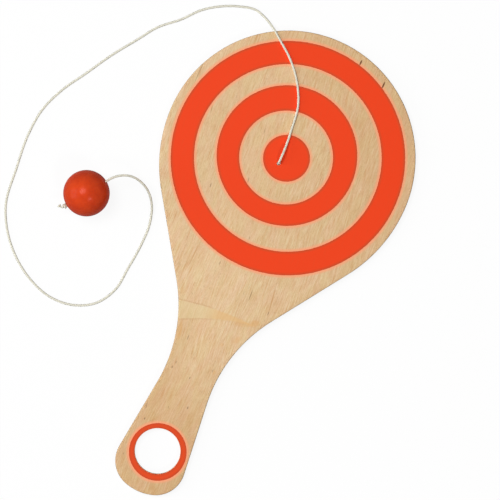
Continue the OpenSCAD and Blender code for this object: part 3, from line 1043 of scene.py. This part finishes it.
def ink_finish(name, full):
    """Satin ink, thin enough that the fibres under it show as relief and faint streaks. A darker line
    runs along each printed edge, where the ink has gathered."""
    finish = Finish(name)
    plan, _, streaks, fine, pores = fibres(finish, FIBRE_TURN)
    base = finish.blend(finish.fade(streaks, *THIN_STREAKS), full, INK_THIN)
    base = finish.blend(finish.calc("MULTIPLY", pores, THIN_PORES), base, INK_THIN)
    base = finish.blend(beside_print(finish, plan, *GATHERED), base, INK_EDGE)
    roughness = finish.between(fine, *INK_ROUGHNESS)
    relief = finish.layered(fine, streaks, share=0.4)
    relief = finish.calc("MULTIPLY_ADD", pores, -INK_PORE_DEPTH, relief)
    return finish.finish(base, roughness, finish.bump(relief, *INK_RELIEF), Specular_IOR_Level=0.12)


FILAMENTS = 5              # filaments across a yarn
FILAMENT_SHADE = 0.03
FILAMENT_RELIEF = 0.12
YARN_EDGE = 0.35           # share of a yarn's hump at which it has its full colour
YARN_ROUGHNESS = (0.85, 0.75)
YARN_RELIEF = (0.04, 0.2)
FIBRE_CLUMPS = ((0.3, 0.3, 0.3), 1.0)
FIBRE_ROUGHNESS = (0.75, 0.85)
FIBRE_RELIEF = (0.01, 0.3)


def yarn_finish(name):
    """White braided yarn, with painted shade where the yarns part. The piece's own coordinates are the
    phases of its two families of yarns: the yarns part where either phase is whole, and the top one's
    filaments run across its own phase."""
    finish = Finish(name)
    phases = finish.add("UVMap", {}, uv_map="yarns")
    one = finish.part(phases, 0)
    other = finish.part(phases, 1)
    humps = [finish.calc("ABSOLUTE", finish.calc("SINE", finish.calc("MULTIPLY", phase, math.pi)))
             for phase in (one, other)]
    body = finish.calc("MULTIPLY", *humps)
    count = finish.calc("ADD", finish.calc("FLOOR", one), finish.calc("FLOOR", other))
    odd = finish.calc("FLOORED_MODULO", count, 2.0)
    across = finish.add("Mix", {0: odd, 2: one, 3: other}, 0, data_type="FLOAT")
    filament = finish.calc("SINE", finish.calc("MULTIPLY", across, 2 * math.pi * FILAMENTS))
    # Painted shade: where the yarns part, the colour goes over to the deeper one
    shade = finish.fade(body, 0.0, YARN_EDGE)
    base = finish.blend(shade, YARN_TONE_AND_SHADE, YARN)
    # Painted shade: the colour darkens slightly in the grooves between the filaments
    lightness = finish.calc("MULTIPLY_ADD", filament, FILAMENT_SHADE, 1 - FILAMENT_SHADE)
    base = finish.brightened(base, lightness)
    relief = finish.calc("MULTIPLY_ADD", filament, FILAMENT_RELIEF, finish.calc("SQRT", body))
    roughness = finish.between(shade, *YARN_ROUGHNESS)
    normal = finish.bump(relief, *YARN_RELIEF)
    return finish.finish(base, roughness, normal, Specular_IOR_Level=0.3,
                         Sheen_Weight=0.15, Sheen_Roughness=0.5)


def fibre_finish(name):
    """Loose white fibres, a little uneven in tone."""
    finish = Finish(name)
    clumps = finish.noise(finish.place(), *FIBRE_CLUMPS)
    base = finish.blend(clumps, YARN_TONE_AND_SHADE, YARN)
    roughness = finish.between(clumps, *FIBRE_ROUGHNESS)
    return finish.finish(base, roughness, finish.bump(clumps, *FIBRE_RELIEF), Specular_IOR_Level=0.3)


# Rubber: noise and patterns as in the wood
CLOUDS = ((6, 6, 6), 3.0, 0.55, 0.35, 0.68)
SKIN = ((0.35, 0.35, 0.35), 3.0, 0.6)
SCUFFS = ((1.8, 1.8, 1.8), 4.0, 0.65)
SCUFF_SHADES = (0.94, 1.06)
RUBBER_ROUGHNESS = (0.3, 0.5)
RUBBER_RELIEF = (0.04, 0.2)


def rubber_finish(name):
    """Matt red rubber with faint clouds of deeper red and a fine pitted skin. Its gloss is a thin worn
    coat, and a trace of metal gives the broad glow under the lamps the rubber's own colour."""
    finish = Finish(name)
    place = finish.place()
    base = finish.blend(finish.pattern(place, *CLOUDS), RUBBER, RUBBER_DEEP)
    skin = finish.noise(place, *SKIN)
    scuffs = finish.noise(place, *SCUFFS)
    base = finish.brightened(base, finish.between(scuffs, *SCUFF_SHADES))
    roughness = finish.between(scuffs, *RUBBER_ROUGHNESS)
    relief = finish.layered(scuffs, skin, share=0.4)
    return finish.finish(base, roughness, finish.bump(relief, *RUBBER_RELIEF), Specular_IOR_Level=0.0,
                         Metallic=0.06, Coat_Weight=0.15, Coat_Roughness=0.22)


face_wood = veneer("face_wood", WOOD_PALE, WOOD_WARM, FIBRE_TURN, WOOD_Z, None, (FACE_Z, FACE_Z))
core_wood = veneer("core_wood", CORE_PALE, CORE_WARM, 90 + FIBRE_TURN, None, None, (CORE_Z, FACE_Z))
back_wood = veneer("back_wood", BACK_PALE, BACK_WARM, BACK_TURN, None, 0.0, (CORE_Z, CORE_Z))
target_ink = ink_finish("orange_ink", INK)
ring_ink = ink_finish("orange_ring_ink", RING_INK)
yarn = yarn_finish("white_yarn")
loose_fibre = fibre_finish("white_fibre")
rubber = rubber_finish("red_rubber")


def stands_for(piece, material, slot, body, *nodes):
    """Gives a piece its material, the nodes that it stands for and its body. slot is not used."""
    piece.data.materials.append(material)
    if nodes:
        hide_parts(*nodes)
    if body:
        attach(piece, body)


stands_for(face_ply, face_wood, "face_veneer", "paddle", "face_veneer")
stands_for(core_ply, core_wood, "core_veneer", "paddle", "core_veneer")
stands_for(back_ply, back_wood, "back_veneer", "paddle", "back_veneer")
for node, piece in prints.items():
    ink = ring_ink if node == "handle_hole_ring" else target_ink
    stands_for(piece, ink, "print_ink", "paddle", node)
stands_for(through_paddle, yarn, "elastic_cord", "paddle", "cord_in_paddle")
stands_for(knot_behind, yarn, "elastic_cord", "paddle", "paddle_knot")
stands_for(through_ball, yarn, "elastic_cord", "cord_end", "cord_in_ball")
stands_for(knot_on_ball, yarn, "elastic_cord", "cord_end", "ball_knot")
stands_for(tail_fibres, loose_fibre, "elastic_cord", "cord_end")
stands_for(ball, rubber, "ball_rubber", "ball", "ball")
stands_for(cord, yarn, "elastic_cord", None, "elastic_cord")
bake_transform(cord)

# Floor, world and lamps
FLOOR_SIZE = 8.0
FLOOR_PALE = 0.3
FLOOR_GLOW = 0.67          # share of the floor that glows for the camera, which thins the shadows
SKY_LIGHT = 0.08


def seen_directly(tree):
    """1 on rays from the camera, off gloss and through glass, and 0 on the light that falls."""
    path = tree.nodes.new("ShaderNodeLightPath")
    total = path.outputs["Is Camera Ray"]
    for name in ("Is Glossy Ray", "Is Transmission Ray"):
        node = tree.nodes.new("ShaderNodeMath")
        node.operation = "MAXIMUM"
        tree.links.new(total, node.inputs[0])
        tree.links.new(path.outputs[name], node.inputs[1])
        total = node.outputs[0]
    return total


def pale_floor():
    """A plain pale floor, which keeps a thin shadow. Its glow fills what its colour lacks of white."""
    half = FLOOR_SIZE / 2
    corners = [(-half, -half, 0), (half, -half, 0), (half, half, 0), (-half, half, 0)]
    mesh = bpy.data.meshes.new("floor")
    mesh.from_pydata(corners, [], [(0, 1, 2, 3)])
    floor = bpy.data.objects.new("floor", mesh)
    bpy.context.scene.collection.objects.link(floor)
    material = bpy.data.materials.new("floor_paper")
    material.use_nodes = True
    tree = material.node_tree
    tree.nodes.clear()
    matt = tree.nodes.new("ShaderNodeBsdfDiffuse")
    matt.inputs["Color"].default_value = (FLOOR_PALE, FLOOR_PALE, FLOOR_PALE, 1)
    glow = tree.nodes.new("ShaderNodeEmission")
    glow.inputs["Strength"].default_value = (1 - (1 - FLOOR_GLOW) * FLOOR_PALE) / FLOOR_GLOW
    share = tree.nodes.new("ShaderNodeMath")
    share.operation = "MULTIPLY"
    share.inputs[1].default_value = FLOOR_GLOW
    tree.links.new(seen_directly(tree), share.inputs[0])
    both = tree.nodes.new("ShaderNodeMixShader")
    tree.links.new(share.outputs[0], both.inputs[0])
    tree.links.new(matt.outputs[0], both.inputs[1])
    tree.links.new(glow.outputs[0], both.inputs[2])
    output = tree.nodes.new("ShaderNodeOutputMaterial")
    tree.links.new(both.outputs[0], output.inputs["Surface"])
    mesh.materials.append(material)


def white_world():
    """A white world, which lights the object at a share of how it looks."""
    world = bpy.data.worlds.new("studio")
    world.use_nodes = True
    tree = world.node_tree
    strength = tree.nodes.new("ShaderNodeMapRange")
    tree.links.new(seen_directly(tree), strength.inputs["Value"])
    strength.inputs["To Min"].default_value = SKY_LIGHT
    background = tree.nodes["Background"]
    background.inputs["Color"].default_value = (1, 1, 1, 1)
    tree.links.new(strength.outputs["Result"], background.inputs["Strength"])
    bpy.context.scene.world = world


LAMP_DISTANCE = 2.4
# The direction of each lamp from the object's middle, its size and its power
LAMPS = {
    "key_lamp": ((-0.343, 0.053, 0.936), 1.0, 36.5),
    "fill_lamp": ((0.472, -0.317, 0.824), 0.5, 11.5),
    "side_lamp": ((-0.82, -0.37, 0.43), 1.6, 22),
}
middle = np.mean(cad_box, axis=0)


def softbox(name, towards, size, power):
    """A square lamp in some direction from the object's middle, turned to face it."""
    lamp = bpy.data.lights.new(name, "AREA")
    lamp.shape = "SQUARE"
    lamp.size = size
    lamp.energy = power
    made = bpy.data.objects.new(name, lamp)
    way = unit(np.array(towards))
    made.location = middle + way * LAMP_DISTANCE
    made.rotation_mode = "QUATERNION"
    made.rotation_quaternion = Vector(way).to_track_quat("Z", "Y")
    made.visible_camera = False
    bpy.context.scene.collection.objects.link(made)


pale_floor()
white_world()
for lamp_name, lamp_row in LAMPS.items():
    softbox(lamp_name, *lamp_row)
